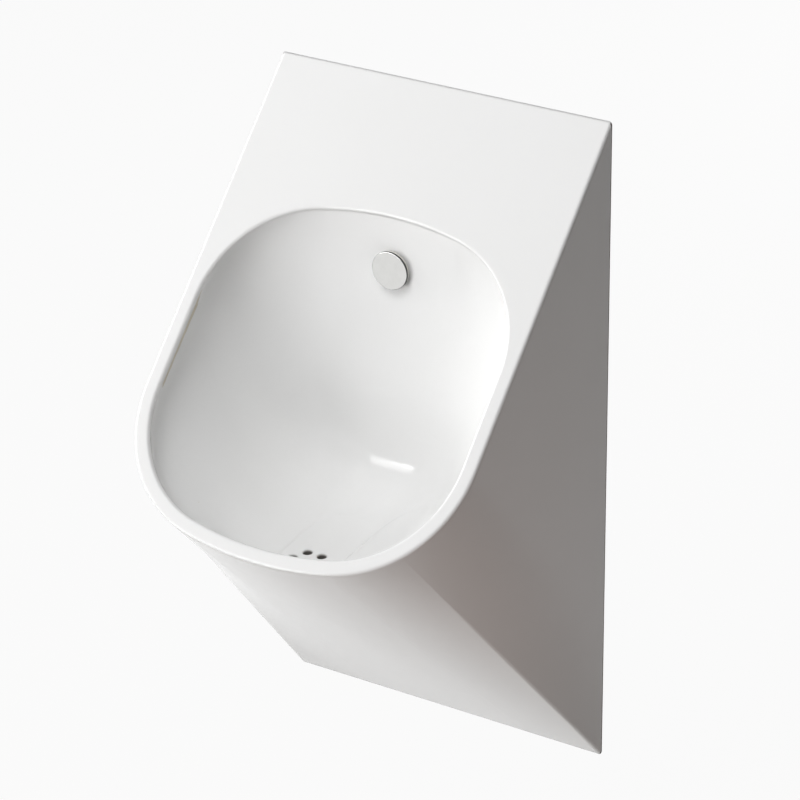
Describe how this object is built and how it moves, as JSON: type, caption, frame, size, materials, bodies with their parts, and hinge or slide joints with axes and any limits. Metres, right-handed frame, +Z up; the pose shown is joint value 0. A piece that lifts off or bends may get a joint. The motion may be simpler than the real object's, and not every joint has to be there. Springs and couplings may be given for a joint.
{
  "type": "wall hung urinal",
  "caption": "Compact white wall hung urinal with a sloping face, an oval bowl, a rear water spreader and a bottle trap inside its hollow back",
  "frame": {"origin": "middle of the lower edge of the flat back face, which lies on the wall", "axes": "+Z up, +Y into the wall, so the bowl faces -Y, +X to the right of someone who faces the urinal"},
  "size_m": [0.32, 0.3059, 0.61],
  "materials": {
    "glaze": "white gloss glaze on vitreous china",
    "cap_finish": "turned brass, polished chrome plate",
    "white_acetal": "moulded acetal",
    "grey_rubber": "moulded rubber",
    "black_rubber": "moulded EPDM rubber",
    "brass_nut": "machined brass",
    "fibre": "pressed red fibre",
    "chromed_tube": "drawn copper tube, chromed",
    "white_polypropylene": "injection moulded polypropylene",
    "zinc_steel": "pressed steel, zinc plated",
    "grey_nylon": "moulded nylon"
  },
  "bodies": {
    "root": {"ceramic_body": "glaze", "spreader_body": "white_acetal", "spreader_front_gasket": "grey_rubber", "spreader_rear_gasket": "black_rubber", "spreader_washer": "white_acetal", "spreader_nut": "brass_nut", "inlet_washer": "fibre", "inlet_pipe": "chromed_tube", "inlet_union_nut": "brass_nut", "waste_seal": "black_rubber", "trap_inlet_nut": "white_polypropylene", "trap_head": "white_polypropylene", "trap_dip_tube": "white_polypropylene", "outlet_seal": "black_rubber", "outlet_nut": "white_polypropylene", "hanger_brackets": "zinc_steel", "hanger_saddles": "grey_nylon"},
    "cap": {"spreader_cap": "cap_finish"},
    "cup": {"trap_cup": "white_polypropylene", "trap_cup_seal": "black_rubber"},
    "pipe": {"outlet_pipe": "white_polypropylene"}
  },
  "joints": [
    {"name": "spreader_cap_turn", "type": "hinge", "parent": "root", "child": "cap", "pos_m": [0, -0.088, 0.4754], "axis": [0, -1, 0], "continuous": true},
    {"name": "trap_cup_turn", "type": "hinge", "parent": "root", "child": "cup", "pos_m": [0, -0.07, 0.14], "axis": [0, 0, 1], "range_deg": [0, 360]},
    {"name": "outlet_pipe_slide", "type": "slide", "parent": "root", "child": "pipe", "axis": [0, 1, 0], "range_m": [0, 0.02]}
  ]
}
